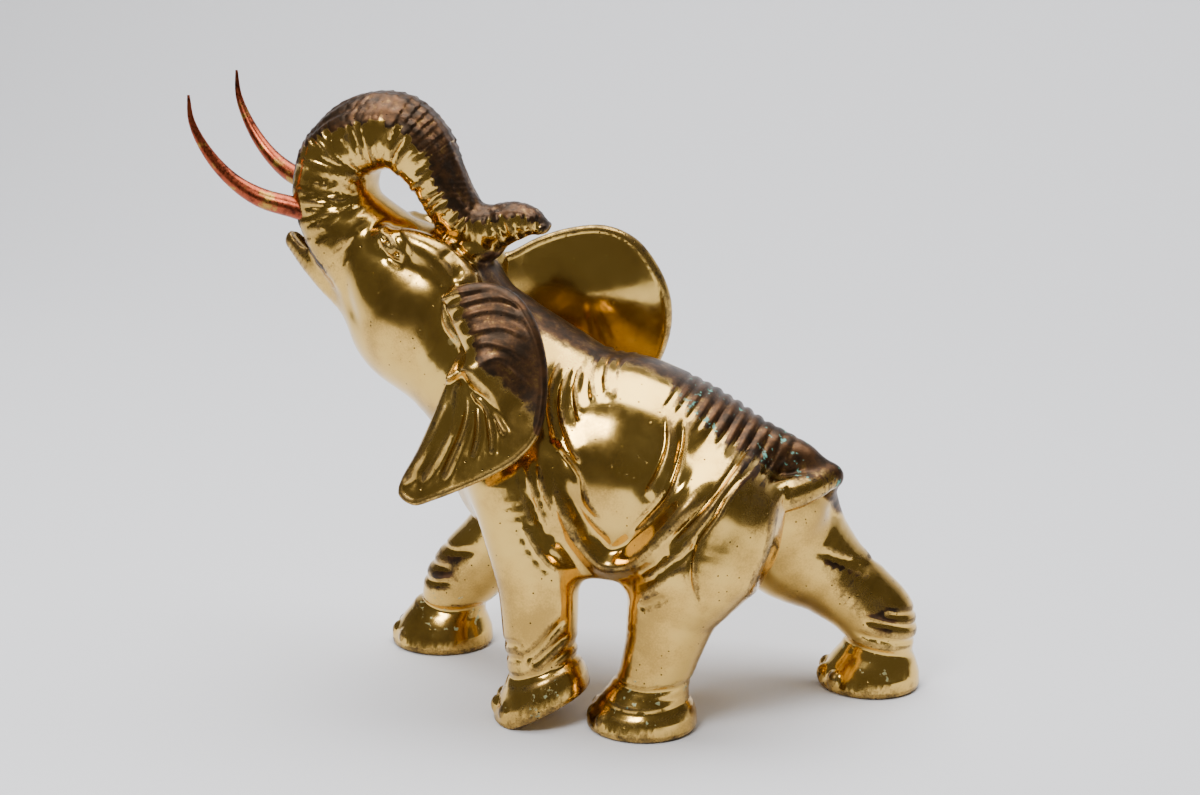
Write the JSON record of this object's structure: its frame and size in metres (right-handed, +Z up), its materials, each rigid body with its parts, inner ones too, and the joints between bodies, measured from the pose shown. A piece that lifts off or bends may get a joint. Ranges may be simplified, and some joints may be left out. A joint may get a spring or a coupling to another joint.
{
  "type": "elephant sculpture",
  "caption": "Cast bronze elephant striding with its head thrown back, trunk curled over its brow and slim copper tusks.",
  "frame": {"origin": "middle of the bounding box at the level of the soles", "axes": "+Z up; the elephant looks along -X and its left side faces -Y"},
  "size_m": [0.3816, 0.171, 0.323],
  "materials": {
    "bronze": "polished casting with dark brown patina in the folds and traces of verdigris",
    "copper": "polished copper with worn brown patches"
  },
  "bodies": {
    "root": {"elephant_body": "bronze", "tusk_left": "copper", "tusk_right": "copper"}
  },
  "joints": []
}
